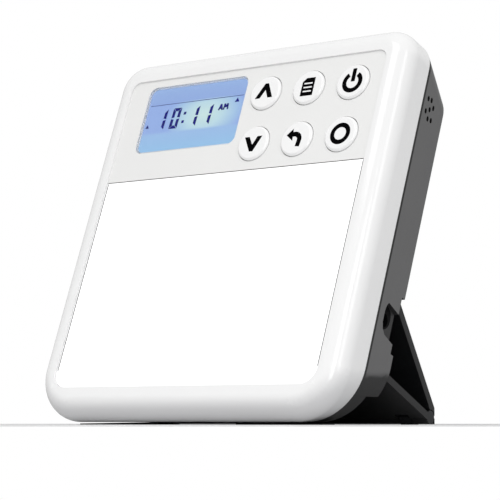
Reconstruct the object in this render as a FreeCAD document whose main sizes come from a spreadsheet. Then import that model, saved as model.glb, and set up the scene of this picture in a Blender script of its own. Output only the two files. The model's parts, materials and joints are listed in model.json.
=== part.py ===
import FreeCAD, Part
import math
import os
import re
import Sketcher

# Light therapy lamp: a leaning square case with a diffuser, a control panel and a
# fold-out stand. Millimetres and degrees. The case is drawn in its own frame:
# X to the viewer's right, Y from the front face back into the case, Z up the case,
# with the origin on the front face, midway along the joint of diffuser and panel.

DIMENSIONS = [
    # case outline
    ("lean", 20.72, "lean of the case from the vertical"),
    ("seat_height", 101.03, "height of the case origin over the surface"),
    ("frame_back", -4.74, "case origin behind the middle of the footprint"),
    ("half_width", 75.5, "half the width of the case"),
    ("case_top", 58.5, "top of the bezel above the case origin"),
    ("top_radius", 12.5, "outline corners at the top"),
    ("base_radius", 21.0, "outline corners at the bottom"),
    ("shoulder", 8.0, "rounding of the bezel's front edge"),
    ("rim_proud", 0.8, "bezel rim in front of the panels"),
    ("parting", 15.15, "depth of the parting plane"),
    ("rear", 30.46, "depth of the rear face"),
    ("top_drop", 13.0, "drop of the cover's top towards the rear"),
    ("wall", 2.4, "moulded wall"),
    ("pad_thickness", 1.0, "rubber pads under the case"),
    ("pad_front", 21.2, "front of the pads before the case origin"),
    ("pad_back", 13.6, "back of the pads before the case origin"),
    # front panels
    ("panel_half", 66.0, "half the width of the front opening"),
    ("panel_top", 47.7, "top of the front opening"),
    ("panel_bottom", -92.3, "bottom of the front opening"),
    ("panel_thick", 2.0, "thickness of the two front panels"),
    ("panel_radius", 4.5, "opening corners at the top"),
    ("diffuser_radius", 7.0, "opening corners at the bottom"),
    ("ledge", 2.0, "ledge that carries the panels"),
    ("joint_gap", 0.2, "fitting gap round the two front panels"),
    # display
    ("lcd_left", -54.6, "left edge of the display's view"),
    ("lcd_right", -2.7, "right edge of the display's view"),
    ("lcd_low", 13.65, "lower edge of the display's view"),
    ("lcd_high", 43.6, "upper edge of the display's view"),
    ("lcd_radius", 3.0, "corners of the display's view"),
    ("window_edge", 0.7, "window beyond the view, on its lip"),
    ("window_front", 0.1, "depth of the window's face"),
    ("lip_front", 0.9, "depth where the window rests on its lip"),
    ("glass_front", 1.3, "depth of the display glass"),
    ("glass_back", 2.8, "depth where glass and backlight meet"),
    ("glass_edge", 0.9, "display glass beyond the view"),
    ("frame_edge", 1.9, "display frame beyond the view"),
    ("frame_back_wall", 1.5, "wall of the display frame behind the backlight"),
    # buttons
    ("button_first", 9.05, "left column of buttons"),
    ("button_pitch", 21.5, "pitch of the button columns"),
    ("button_upper", 34.6, "upper row of buttons"),
    ("button_lower", 11.7, "lower row of buttons"),
    ("button_radius", 7.55, "radius of a button cap"),
    ("button_proud", 1.1, "button cap in front of the panel"),
    ("button_gap", 0.3, "gap round a button cap"),
    ("button_edge", 0.7, "bevel round a button's face"),
    ("flange_half", 8.7, "half the side of the square button flange"),
    ("flange_front", 2.1, "depth of the front of the button flange"),
    ("flange_back", 3.0, "depth of the back of the button flange"),
    ("stem_half", 2.0, "half the side of the square button stem"),
    ("stem_end", 5.2, "depth of the end of the button stem"),
    ("plunger_half", 1.6, "half the side of a switch plunger"),
    ("plunger_front", 6.05, "depth of the front of a switch plunger"),
    ("switch_half", 3.0, "half the side of a switch"),
    ("switch_high", 2.6, "height of a switch on its board"),
    # boards
    ("board_front", 9.0, "front face of the control board"),
    ("board_thick", 1.6, "thickness of the control board"),
    ("post_half", 2.2, "half the side of a post that carries the board"),
    ("stake_half", 1.0, "half the side of a stake through the board"),
    ("stake_fit", 0.15, "gap round a stake in its hole"),
    ("stake_head", 1.7, "half the side of a stake's formed head"),
    ("stake_head_high", 0.8, "height of a stake's formed head"),
    ("tray_half", 63.5, "half the width of the reflector tray"),
    ("tray_top", -1.5, "top of the reflector tray"),
    ("tray_bottom", -90.0, "bottom of the reflector tray"),
    ("tray_back", 13.2, "depth of the back of the reflector tray"),
    ("tray_wall", 1.2, "wall of the reflector tray at its mouth"),
    ("tray_slope", 4.0, "slope of the reflector walls over their depth"),
    ("tray_radius", 5.0, "lower corners of the reflector tray"),
    ("led_board_thick", 1.4, "thickness of the board of light sources"),
    ("led_pitch", 13.5, "pitch of the light sources"),
    ("led_wide", 3.5, "width of a light source"),
    ("led_tall", 2.8, "height of a light source"),
    ("led_proud", 0.8, "light source in front of its board"),
    # case screws
    ("boss_side", 67.0, "screw bosses from the middle"),
    ("boss_high", 34.0, "screw bosses above and below the case origin"),
    ("boss_half", 3.4, "half the side of a square screw boss of the bezel"),
    ("tube_half", 4.1, "half the side of a square screw tube of the cover"),
    ("case_screw", 1.3, "radius of a case screw"),
    ("case_head", 2.7, "head radius of a case screw"),
    ("screw_fit", 0.2, "radial gap round a screw in the cover"),
    ("head_depth", 24.0, "depth where the screw heads seat"),
    ("head_high", 2.0, "height of a screw head"),
    ("screw_reach", 16.85, "case screw in front of its seat"),
    # stand recess
    ("recess_half", 72.4, "half the width of the stand recess"),
    ("recess_top", -42.0, "top of the stand recess"),
    ("recess_step", -62.4, "height where the recess gets deeper"),
    ("leg_floor", 26.2, "recess floor behind the leg"),
    ("brace_floor", 23.2, "recess floor behind the brace"),
    ("groove_radius", 16.2, "round grooves for the brace tabs"),
    ("groove_height", -63.8, "axis height of the grooves"),
    ("groove_depth", 33.75, "axis depth of the grooves"),
    ("groove_width", 9.0, "width of a groove"),
    ("notch_top", -45.9, "top of the finger notch in the side walls"),
    ("notch_low", -69.0, "bottom of the finger notch"),
    ("notch_depth", 28.5, "side wall edge at the finger notch"),
    # stand
    ("hinge_height", -44.24, "leg hinge above the case origin"),
    ("hinge_depth", 28.5, "depth of the leg hinge"),
    ("splay", 30.3, "leg angle from the vertical"),
    ("leg_half", 71.5, "half the width of the stand"),
    ("leg_outer", 1.96, "outer face of the leg from the hinge axis"),
    ("leg_thick", 3.0, "thickness of the leg"),
    ("toe", 38.5, "back of the foot behind the case origin"),
    ("heel", 34.5, "front of the foot behind the case origin"),
    ("pin_drop", 52.7, "brace pin below the leg hinge, along the leg"),
    ("pin_inset", 2.31, "brace pin inside the leg hinge line"),
    ("knuckle", 2.6, "radius of the brace knuckle"),
    ("ear_near", 58.5, "near side of the leg's two foot ears"),
    ("ear_far", 64.0, "far side of the leg's two foot ears"),
    ("ear_gap", 0.3, "gap beside an ear in its slot of the brace"),
    ("ear_slot", 5.4, "reach of the ear slots from the pin axis"),
    ("brace_angle", 62.7, "brace angle from the vertical"),
    ("brace_inner", 1.83, "lower face of the brace from the pin axis"),
    ("brace_thick", 2.8, "thickness of the brace"),
    ("brace_length", 34.0, "length of the full-width brace plate"),
    ("tab_length", 44.3, "reach of the brace tabs"),
    ("tab_offset", 30.0, "brace tabs from the middle"),
    ("tab_width", 8.0, "width of a brace tab"),
    ("hinge_pin", 1.0, "radius of the leg hinge pins"),
    ("brace_pin", 1.1, "radius of the brace pin"),
    ("pin_half", 66.0, "half the length of the brace pin"),
    ("run_fit", 0.06, "radial running fit of the pins"),
    # power inlet
    ("jack_height", -57.6, "inlet axis above the case origin"),
    ("jack_depth", 22.4, "depth of the inlet axis"),
    ("jack_radius", 3.5, "outer radius of the inlet barrel"),
    ("jack_bore", 2.8, "bore radius of the inlet"),
    ("jack_floor", 2.0, "floor of the inlet barrel"),
    ("jack_pin", 1.0, "radius of the contact in the inlet"),
    ("jack_inner", 61.0, "inner end of the inlet from the middle"),
    ("jack_recess", 2.0, "depth of the scallop round the inlet"),
    ("scallop_front", 19.6, "depth of the scallop's front edge"),
    ("scallop_high", -51.2, "upper corner of the scallop"),
    ("scallop_low", -63.7, "lower corner of the scallop"),
    ("scallop_fall", 0.24, "fall of the scallop's edges over each millimetre back"),
    # sounder
    ("sound_height", 30.9, "middle of the sound holes above the case origin"),
    ("sound_depth", 20.9, "depth of the middle of the sound holes"),
    ("sound_wide", 0.68, "half the width of a sound hole"),
    ("sound_tall", 1.1, "half the height of a sound hole"),
    ("sounder_half", 5.4, "half the side of the sounder frame"),
    ("sounder_open", 4.4, "half the side of the opening in the sounder frame"),
    ("sounder_thick", 1.2, "thickness of the sounder frame"),
    ("sounder_disc", 5.2, "radius of the sounder disc"),
    ("disc_thick", 0.4, "thickness of the sounder disc"),
]

document = FreeCAD.newDocument("TherapyLamp")
sheet = document.addObject("Spreadsheet::Sheet", "Dims")
for row, (alias, number, meaning) in enumerate(DIMENSIONS, start=1):
    sheet.set(f"A{row}", str(number))
    sheet.setAlias(f"A{row}", alias)
    sheet.set(f"B{row}", meaning)
document.recompute()

ALIASES = {alias for alias, number, meaning in DIMENSIONS}
PIECES = []


# ---------------------------------------------------------------- expressions
def bound(text):
    """The expression with each dimension's name pointed at the sheet."""
    return re.sub(r"[a-z_]+", lambda word: prefixed(word.group()), text)


def prefixed(word):
    return f"Dims.{word}" if word in ALIASES else word


def value(text):
    """The present value of an expression, as a plain number."""
    return float(sheet.evalExpression(text))


# ------------------------------------------------------------------- sketches
def new_body(name):
    body = document.addObject("PartDesign::Body", name)
    body.Label = name
    body.AllowCompound = True
    return body


def new_sketch(body, role, offset):
    """A sketch on an origin plane of its body, moved along the plane's normal."""
    sketch = body.newObject("Sketcher::SketchObject", f"{body.Name}_sketch")
    plane = next(item for item in body.Origin.OriginFeatures if item.Role == role)
    sketch.AttachmentSupport = (plane, "")
    sketch.MapMode = "FlatFace"
    sketch.setExpression("AttachmentOffset.Base.z", bound(offset))
    return sketch


def front_sketch(body, depth):
    """A sketch seen from the front, at a depth: its axes are X and Z."""
    return new_sketch(body, "XZ_Plane", f"-({depth})")


def side_sketch(body, across):
    """A sketch seen from the right, at an X: its axes are Y and Z."""
    return new_sketch(body, "YZ_Plane", across)


def pin_point(sketch, geometry, position, across, up):
    """Bind one point of a sketch to two expressions."""
    for kind, text in (("DistanceX", across), ("DistanceY", up)):
        index = sketch.addConstraint(Sketcher.Constraint(kind, -1, 1, geometry, position, value(text)))
        sketch.setExpression(f"Constraints[{index}]", bound(text))


def add_circle(sketch, across, up, radius):
    centre = FreeCAD.Vector(value(across), value(up), 0)
    circle = sketch.addGeometry(Part.Circle(centre, FreeCAD.Vector(0, 0, 1), value(radius)))
    pin_point(sketch, circle, 3, across, up)
    index = sketch.addConstraint(Sketcher.Constraint("Radius", circle, value(radius)))
    sketch.setExpression(f"Constraints[{index}]", bound(radius))


def add_polygon(sketch, points):
    """A closed outline whose points are pairs of expressions."""
    corners = [FreeCAD.Vector(value(across), value(up), 0) for across, up in points]
    edges = []
    for start, end in zip(corners, corners[1:] + corners[:1]):
        edges.append(sketch.addGeometry(Part.LineSegment(start, end)))
    for edge, following in zip(edges, edges[1:] + edges[:1]):
        sketch.addConstraint(Sketcher.Constraint("Coincident", edge, 2, following, 1))
    for edge, (across, up) in zip(edges, points):
        pin_point(sketch, edge, 1, across, up)


def add_box(sketch, left, right, low, high, low_radius=None, high_radius=None):
    """A rectangle whose lower and upper corners can be round."""
    xs, zs = (value(left), value(right)), (value(low), value(high))
    rl = value(low_radius) if low_radius else 0.0
    rh = value(high_radius) if high_radius else 0.0
    ends = [
        ((xs[0] + rl, zs[0]), (xs[1] - rl, zs[0])),
        ((xs[1], zs[0] + rl), (xs[1], zs[1] - rh)),
        ((xs[1] - rh, zs[1]), (xs[0] + rh, zs[1])),
        ((xs[0], zs[1] - rh), (xs[0], zs[0] + rl)),
    ]
    lines = []
    for start, end in ends:
        segment = Part.LineSegment(FreeCAD.Vector(*start, 0), FreeCAD.Vector(*end, 0))
        lines.append(sketch.addGeometry(segment))
    centres = [
        (xs[1] - rl, zs[0] + rl),
        (xs[1] - rh, zs[1] - rh),
        (xs[0] + rh, zs[1] - rh),
        (xs[0] + rl, zs[0] + rl),
    ]
    radii = [low_radius, high_radius, high_radius, low_radius]
    for corner in range(4):
        before, after = lines[corner], lines[(corner + 1) % 4]
        if radii[corner] is None:
            sketch.addConstraint(Sketcher.Constraint("Coincident", before, 2, after, 1))
            continue
        start = math.radians(-90 + 90 * corner)
        middle = FreeCAD.Vector(*centres[corner], 0)
        circle = Part.Circle(middle, FreeCAD.Vector(0, 0, 1), value(radii[corner]))
        arc = sketch.addGeometry(Part.ArcOfCircle(circle, start, start + math.pi / 2))
        sketch.addConstraint(Sketcher.Constraint("Tangent", before, 2, arc, 1))
        sketch.addConstraint(Sketcher.Constraint("Tangent", arc, 2, after, 1))
        index = sketch.addConstraint(Sketcher.Constraint("Radius", arc, value(radii[corner])))
        sketch.setExpression(f"Constraints[{index}]", bound(radii[corner]))
    for line, kind in zip(lines, ("Horizontal", "Vertical", "Horizontal", "Vertical")):
        sketch.addConstraint(Sketcher.Constraint(kind, line))
    places = [("DistanceY", low), ("DistanceX", right), ("DistanceY", high), ("DistanceX", left)]
    for line, (kind, text) in zip(lines, places):
        index = sketch.addConstraint(Sketcher.Constraint(kind, -1, 1, line, 1, value(text)))
        sketch.setExpression(f"Constraints[{index}]", bound(text))


def add_square(sketch, across, up, half):
    """A square round a centre, from half its side."""
    add_box(sketch, f"{across} - {half}", f"{across} + {half}", f"{up} - {half}", f"{up} + {half}")


# ------------------------------------------------------------------- features
def extrude(body, sketch, length, cut=False, slant=None):
    """Pad or pocket a sketch away from its plane, towards +Y or +X.

    slant is the rise along Z over each millimetre along Y, as an expression.
    """
    kind = "Pocket" if cut else "Pad"
    before = body.Shape.Volume if cut else 0.0
    feature = body.newObject(f"PartDesign::{kind}", f"{body.Name}_{kind.lower()}")
    feature.Profile = sketch
    feature.setExpression("Length", bound(length))
    from_front = sketch.AttachmentSupport[0][0].Role == "XZ_Plane"
    feature.Reversed = from_front != cut
    if slant is not None:
        feature.UseCustomVector = True
        feature.Direction = FreeCAD.Vector(0, 1, value(slant))
        feature.AlongSketchNormal = True
        feature.Reversed = False
    document.recompute()
    if cut and body.Shape.Volume > before - 0.01:
        raise RuntimeError(f"{body.Name}: a pocket removes nothing")
    return feature


def chosen_edges(shape, test):
    return [f"Edge{number}" for number, edge in enumerate(shape.Edges, start=1) if test(edge)]


def round_edges(body, radius, test):
    """Fillet the edges of the body's last feature that pass the test."""
    base = body.Tip
    feature = body.newObject("PartDesign::Fillet", f"{body.Name}_fillet")
    feature.Base = (base, chosen_edges(base.Shape, test))
    feature.setExpression("Radius", bound(radius))
    document.recompute()


def lies_at_depth(depth):
    """A test for edges that lie whole in the plane at this depth."""
    return lambda edge: max(abs(edge.BoundBox.YMin - depth), abs(edge.BoundBox.YMax - depth)) < 0.01


# --------------------------------------------------------------------- frames
def lamp_frame():
    """The case frame: leaning back, with the pads on the surface at Z = 0."""
    base = FreeCAD.Vector(0, value("frame_back"), value("seat_height"))
    return FreeCAD.Placement(base, FreeCAD.Rotation(FreeCAD.Vector(1, 0, 0), -value("lean")))


def leg_frame():
    """Origin on the leg hinge, Y out of the leg's outer face, Z up the leg."""
    hinge = lamp_frame().multVec(FreeCAD.Vector(0, value("hinge_depth"), value("hinge_height")))
    return FreeCAD.Placement(hinge, FreeCAD.Rotation(FreeCAD.Vector(1, 0, 0), value("splay")))


def brace_frame():
    """Origin on the brace pin, Z along the brace towards the case."""
    pin = leg_frame().multVec(FreeCAD.Vector(0, -value("pin_inset"), -value("pin_drop")))
    return FreeCAD.Placement(pin, FreeCAD.Rotation(FreeCAD.Vector(1, 0, 0), value("brace_angle")))


def finish(piece, frame):
    """Seat a finished sub-part and put it on the list that is written out."""
    piece.Placement = frame
    PIECES.append(piece)


# ----------------------------------------------------------------- case shells
RIM = "-rim_proud"
FLOOR_SLANT = "sin(lean) / cos(lean)"
TOP_SLANT = "-top_drop / (rear - parting)"
UPPER_START = "-40"
LOWER_END = "-20"
SCREWS = [(f"{side}boss_side", f"{level}boss_high") for side in ("-", "") for level in ("-", "")]


def base_line(depth):
    """Height of the case's flat bottom at a depth: level, a pad's thickness up."""
    return f"(pad_thickness - seat_height + ({depth}) * sin(lean)) / cos(lean)"


def case_block(body, front, back, upper_slant):
    """Solid case between two depths: upper and lower outlines that overlap."""
    upper = front_sketch(body, front)
    add_box(upper, "-half_width", "half_width", UPPER_START, "case_top", None, "top_radius")
    extrude(body, upper, f"({back}) - ({front})", slant=upper_slant)
    lower = front_sketch(body, front)
    add_box(lower, "-half_width", "half_width", base_line(front), LOWER_END, "base_radius", None)
    extrude(body, lower, f"({back}) - ({front})", slant=FLOOR_SLANT)


def front_bezel():
    body = new_body("front_bezel")
    case_block(body, RIM, "parting", None)
    outer = lies_at_depth(value(RIM))
    round_edges(body, "shoulder", outer)
    cavities = [("panel_thick + ledge", "5.5", "4.5"), ("shoulder", "wall", "wall")]
    for depth, side, above in cavities:
        sketch = front_sketch(body, depth)
        add_box(sketch, f"{side} - half_width", f"half_width - {side}",
                f"{base_line('parting')} + {above}", f"case_top - {above}",
                f"base_radius - {side}", f"top_radius - {side}")
        extrude(body, sketch, f"parting - ({depth})", cut=True)
    opening = front_sketch(body, RIM)
    add_box(opening, "-panel_half", "panel_half", "panel_bottom", "panel_top",
            "diffuser_radius", "panel_radius")
    extrude(body, opening, "rim_proud + panel_thick", cut=True)
    inner = front_sketch(body, "panel_thick")
    add_box(inner, "ledge - panel_half", "panel_half - ledge", "panel_bottom + ledge", "panel_top - ledge",
            "diffuser_radius - ledge", "panel_radius - ledge")
    extrude(body, inner, "ledge", cut=True)
    bosses = front_sketch(body, "panel_thick + ledge")
    holes = front_sketch(body, "panel_thick + ledge + 1")
    for across, up in SCREWS:
        add_square(bosses, across, up, "boss_half")
        add_circle(holes, across, up, "case_screw")
    extrude(body, bosses, "parting - panel_thick - ledge")
    extrude(body, holes, "parting - panel_thick - ledge - 1", cut=True)
    finish(body, lamp_frame())


def rear_cover():
    body = new_body("rear_cover")
    case_block(body, "parting", "rear", TOP_SLANT)
    cover_cavities(body)
    cover_screw_tubes(body)
    cover_recess(body)
    cover_side_details(body)
    finish(body, lamp_frame())


def cover_cavities(body):
    """The hollow over the stand recess, and the cores beside its grooves."""
    hollow = front_sketch(body, "parting")
    add_box(hollow, "wall - half_width", "half_width - wall", "recess_top + wall", "case_top - 3",
            None, "top_radius - wall")
    extrude(body, hollow, "rear - wall - parting", cut=True, slant=TOP_SLANT)
    clearance = front_sketch(body, "parting")
    add_box(clearance, "2 - panel_half", "panel_half - 2", "panel_bottom", "recess_top + wall + 1")
    extrude(body, clearance, "0.6", cut=True)
    cores = front_sketch(body, "parting")
    for left, right in (("-58", "-38"), ("-22", "22"), ("38", "jack_inner")):
        add_box(cores, left, right, "-90", "-46")
    extrude(body, cores, "6", cut=True)


def cover_screw_tubes(body):
    """Tubes over the bezel's bosses, counterbored from the rear."""
    tubes = front_sketch(body, "parting")
    shanks = front_sketch(body, "parting")
    heads = front_sketch(body, "head_depth")
    for across, up in SCREWS:
        add_square(tubes, across, up, "tube_half")
        add_circle(shanks, across, up, "case_screw + screw_fit")
        add_circle(heads, across, up, "case_head + screw_fit")
    extrude(body, tubes, "rear - parting")
    extrude(body, shanks, "rear - parting", cut=True)
    extrude(body, heads, "rear - head_depth", cut=True)


def cover_recess(body):
    """The recess that takes the folded stand, with grooves for the brace tabs."""
    below = f"{base_line('rear')} - 12"
    steps = [("leg_floor", "recess_top"), ("brace_floor", "recess_step")]
    for depth, top in steps:
        sketch = front_sketch(body, depth)
        add_box(sketch, "-recess_half", "recess_half", below, top)
        extrude(body, sketch, f"rear - {depth}", cut=True)
    for side in ("-", ""):
        groove = side_sketch(body, f"{side}tab_offset - groove_width / 2")
        add_circle(groove, "groove_depth", "groove_height", "groove_radius")
        extrude(body, groove, "groove_width", cut=True)
    notches = side_sketch(body, "-half_width - 1")
    add_box(notches, "notch_depth", "rear + 1", "notch_low", "notch_top")
    extrude(body, notches, "2 * half_width + 2", cut=True)
    bearings = side_sketch(body, "-recess_half - 2")
    add_circle(bearings, "hinge_depth", "hinge_height", "hinge_pin + run_fit")
    extrude(body, bearings, "2 * recess_half + 4", cut=True)


def cover_side_details(body):
    """Scallop and bore of the power inlet, and the sound holes, on the right side."""
    scallop = side_sketch(body, "half_width - jack_recess")
    behind = "rear + 1"
    add_polygon(scallop, [
        ("scallop_front", "scallop_low + 4.2"),
        ("scallop_front + 0.9", "scallop_low + 1.7"),
        ("scallop_front + 2.7", "scallop_low"),
        (behind, f"scallop_low - ({behind} - scallop_front - 2.7) * scallop_fall"),
        (behind, f"scallop_high - ({behind} - scallop_front - 1.5) * scallop_fall"),
        ("scallop_front + 1.5", "scallop_high"),
        ("scallop_front + 0.5", "scallop_high - 1.5"),
        ("scallop_front", "scallop_high - 3.6"),
    ])
    extrude(body, scallop, "jack_recess + 1", cut=True)
    bore = side_sketch(body, "jack_inner - 1")
    add_circle(bore, "jack_depth", "jack_height", "jack_radius")
    extrude(body, bore, "half_width - jack_inner", cut=True)
    holes = side_sketch(body, "half_width - wall - 1")
    for behind_middle, above_middle in SOUND_HOLES:
        corners = []
        for wide, tall in SOUND_HOLE_CORNERS:
            corners.append((f"sound_depth + {behind_middle} + {wide} * sound_wide",
                            f"sound_height + {above_middle} + {tall} * sound_tall"))
        add_polygon(holes, corners)
    extrude(body, holes, "wall + 2", cut=True)


# Sound holes: two, three and two round the middle one, and the outline of each hole
# as shares of its half width and half height.
SOUND_HOLES = [("0", "0"), ("-2.1", "3.8"), ("0.1", "4.1"), ("-2.3", "-1.7"), ("2.2", "1.7"),
               ("-0.1", "-4.1"), ("2.2", "-3.7")]
SOUND_HOLE_CORNERS = [("1", "-0.45"), ("1", "0.45"), ("0.5", "1"), ("-0.5", "1"),
                      ("-1", "0.45"), ("-1", "-0.45"), ("-0.5", "-1"), ("0.5", "-1")]


# --------------------------------------------------------------- front panels
def button_centres():
    """Name and centre of each button: three columns in two rows."""
    names = ("up", "menu", "power", "down", "back", "select")
    rows = ("button_upper", "button_lower")
    return [(name, f"button_first + {index % 3} * button_pitch", rows[index // 3])
            for index, name in enumerate(names)]


POSTS = [("-59.5", "5"), ("-59.5", "43"), ("button_first + button_pitch / 2", "23.1"), ("61", "23.1")]


def control_panel():
    body = new_body("control_panel")
    plate = front_sketch(body, "0")
    add_box(plate, "joint_gap - panel_half", "panel_half - joint_gap", "joint_gap", "panel_top - joint_gap",
            None, "panel_radius")
    extrude(body, plate, "panel_thick")
    steps = [("panel_thick", "board_front", "post_half"),
             ("board_front", "board_front + board_thick", "stake_half"),
             ("board_front + board_thick", "board_front + board_thick + stake_head_high", "stake_head")]
    for start, end, half in steps:
        sketch = front_sketch(body, start)
        for across, up in POSTS:
            add_square(sketch, across, up, half)
        extrude(body, sketch, f"{end} - ({start})")
    window = front_sketch(body, "0")
    add_box(window, *view_sides("window_edge"), "lcd_radius + window_edge", "lcd_radius + window_edge")
    extrude(body, window, "lip_front", cut=True)
    view = front_sketch(body, "0")
    add_box(view, *view_sides("0"), "lcd_radius", "lcd_radius")
    extrude(body, view, "panel_thick", cut=True)
    seat = front_sketch(body, "glass_front")
    add_box(seat, *view_sides("glass_edge + window_front"))
    extrude(body, seat, "panel_thick - glass_front", cut=True)
    holes = front_sketch(body, "0")
    for name, across, up in button_centres():
        add_circle(holes, across, up, "button_radius + button_gap")
    extrude(body, holes, "panel_thick", cut=True)
    finish(body, lamp_frame())


def view_sides(edge):
    """Left, right, low and high edges of the display's view, moved out by an edge."""
    return (f"lcd_left - ({edge})", f"lcd_right + {edge}", f"lcd_low - ({edge})", f"lcd_high + {edge}")


def plate(name, sides, depths, low_radius=None, high_radius=None):
    """A flat piece of the case: left, right, low and high edges, two depths."""
    body = new_body(name)
    sketch = front_sketch(body, depths[0])
    add_box(sketch, *sides, low_radius, high_radius)
    extrude(body, sketch, f"({depths[1]}) - ({depths[0]})")
    return body


def front_plates():
    sides = ("joint_gap - panel_half", "panel_half - joint_gap", "panel_bottom + joint_gap", "-joint_gap")
    diffuser = plate("diffuser_panel", sides, ("0", "panel_thick"), "diffuser_radius", None)
    finish(diffuser, lamp_frame())
    corner = "lcd_radius + window_edge"
    between = ("window_front", "lip_front")
    window = plate("lcd_window", view_sides("window_edge - 0.1"), between, corner, corner)
    finish(window, lamp_frame())


def display_module():
    """Glass, backlight and the frame that holds them behind the window."""
    inside = view_sides("glass_edge")
    backlight_end = "board_front - frame_back_wall"
    finish(plate("lcd_glass", inside, ("glass_front", "glass_back")), lamp_frame())
    finish(plate("lcd_backlight", inside, ("glass_back", backlight_end)), lamp_frame())
    frame = plate("lcd_frame", view_sides("frame_edge"), ("panel_thick", "board_front"))
    hollow = front_sketch(frame, "panel_thick")
    add_box(hollow, *inside)
    extrude(frame, hollow, f"{backlight_end} - panel_thick", cut=True)
    finish(frame, lamp_frame())


# -------------------------------------------------------------------- buttons
def button(name, across, up):
    """A turned cap on a square flange behind the panel, with a stem for its switch."""
    body = new_body(f"button_{name}")
    profile = new_sketch(body, "XY_Plane", "0")
    add_polygon(profile, [
        ("0", "-button_proud"),
        ("button_radius - button_edge", "-button_proud"),
        ("button_radius", "button_edge - button_proud"),
        ("button_radius", "flange_front"),
        ("0", "flange_front"),
    ])
    turned = body.newObject("PartDesign::Revolution", f"{body.Name}_turned")
    turned.Profile = profile
    turned.ReferenceAxis = (profile, ["V_Axis"])
    turned.Angle = 360
    document.recompute()
    blocks = (("flange_front", "flange_back", "flange_half"), ("flange_back", "stem_end", "stem_half"))
    for start, end, half in blocks:
        sketch = front_sketch(body, start)
        add_square(sketch, "0", "0", half)
        extrude(body, sketch, f"{end} - {start}")
    place = FreeCAD.Placement(FreeCAD.Vector(value(across), 0, value(up)), FreeCAD.Rotation())
    finish(body, lamp_frame().multiply(place))


def tact_switches():
    body = new_body("tact_switches")
    cases = front_sketch(body, "board_front - switch_high")
    plungers = front_sketch(body, "plunger_front")
    for name, across, up in button_centres():
        add_square(cases, across, up, "switch_half")
        add_square(plungers, across, up, "plunger_half")
    extrude(body, cases, "switch_high")
    extrude(body, plungers, "board_front - 1 - plunger_front")
    finish(body, lamp_frame())


# ---------------------------------------------------------------- electronics
def control_board():
    sides = ("-62.5", "63.4", "1.5", "46")
    board = plate("control_board", sides, ("board_front", "board_front + board_thick"))
    holes = front_sketch(board, "board_front")
    for across, up in POSTS:
        add_square(holes, across, up, "(stake_half + stake_fit)")
    extrude(board, holes, "board_thick", cut=True)
    finish(board, lamp_frame())
    chips = new_body("board_components")
    boxes = [("-30", "-16", "14", "28", "1.6"), ("-46", "-36", "16", "22", "3.5"), ("0", "9", "6", "15", "5"),
             ("28", "36", "30", "38", "7"), ("44", "52", "6", "12", "4.5")]
    for left, right, low, high, height in boxes:
        sketch = front_sketch(chips, "board_front + board_thick")
        add_box(sketch, left, right, low, high)
        extrude(chips, sketch, height)
    finish(chips, lamp_frame())


def case_screws():
    """Four screws: heads behind their seats in the cover, cores in the bezel's bosses."""
    body = new_body("case_screws")
    heads = front_sketch(body, "head_depth")
    cores = front_sketch(body, "head_depth - screw_reach")
    for across, up in SCREWS:
        add_circle(heads, across, up, "case_head")
        add_circle(cores, across, up, "case_screw")
    extrude(body, heads, "head_high")
    extrude(body, cores, "screw_reach + head_high / 2")
    finish(body, lamp_frame())


def light_engine():
    """Reflector tray with sloping walls, and the board of light sources behind it."""
    outline = ("-tray_half", "tray_half", "tray_bottom", "tray_top")
    tray = plate("reflector_tray", outline, ("panel_thick", "tray_back"), "tray_radius", None)
    ends = []
    for depth, inset in (("panel_thick", "tray_wall"), ("tray_back", "(tray_wall + tray_slope)")):
        end = front_sketch(tray, depth)
        add_box(end, f"{inset} - tray_half", f"tray_half - {inset}", f"tray_bottom + {inset}",
                f"tray_top - {inset}", "tray_radius - tray_wall", None)
        ends.append(end)
    hollow = tray.newObject("PartDesign::SubtractiveLoft", "reflector_tray_hollow")
    hollow.Profile = ends[0]
    hollow.Sections = ends[1:]
    finish(tray, lamp_frame())
    finish(plate("led_board", outline, ("tray_back", "tray_back + led_board_thick")), lamp_frame())
    packages = new_body("led_packages")
    first = front_sketch(packages, "tray_back - led_proud")
    start, level = "-4 * led_pitch", "(tray_bottom + tray_top) / 2 - 2.5 * led_pitch"
    add_box(first, f"{start} - led_wide / 2", f"{start} + led_wide / 2",
            f"{level} - led_tall / 2", f"{level} + led_tall / 2")
    seed = extrude(packages, first, "led_proud")
    repeat = packages.newObject("PartDesign::MultiTransform", "led_grid")
    repeat.Originals = [seed]
    rows = []
    for axis, count in (("H_Axis", 9), ("V_Axis", 6)):
        pattern = packages.newObject("PartDesign::LinearPattern", f"led_{axis[0].lower()}_pattern")
        pattern.Direction = (first, [axis])
        pattern.setExpression("Length", bound(f"{count - 1} * led_pitch"))
        pattern.Occurrences = count
        rows.append(pattern)
    repeat.Transformations = rows
    packages.Tip = repeat
    finish(packages, lamp_frame())


# ---------------------------------------------------------------------- inlet
def power_inlet():
    body = new_body("dc_jack")
    barrel = side_sketch(body, "jack_inner")
    add_circle(barrel, "jack_depth", "jack_height", "jack_radius")
    extrude(body, barrel, "half_width - jack_recess - jack_inner")
    bore = side_sketch(body, "jack_inner + jack_floor")
    add_circle(bore, "jack_depth", "jack_height", "jack_bore")
    extrude(body, bore, "half_width - jack_recess - jack_inner - jack_floor", cut=True)
    finish(body, lamp_frame())
    contact = new_body("jack_contact")
    pin = side_sketch(contact, "jack_inner + jack_floor")
    add_circle(pin, "jack_depth", "jack_height", "jack_pin")
    extrude(contact, pin, "half_width - jack_recess - jack_inner - jack_floor - 1")
    finish(contact, lamp_frame())


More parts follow.
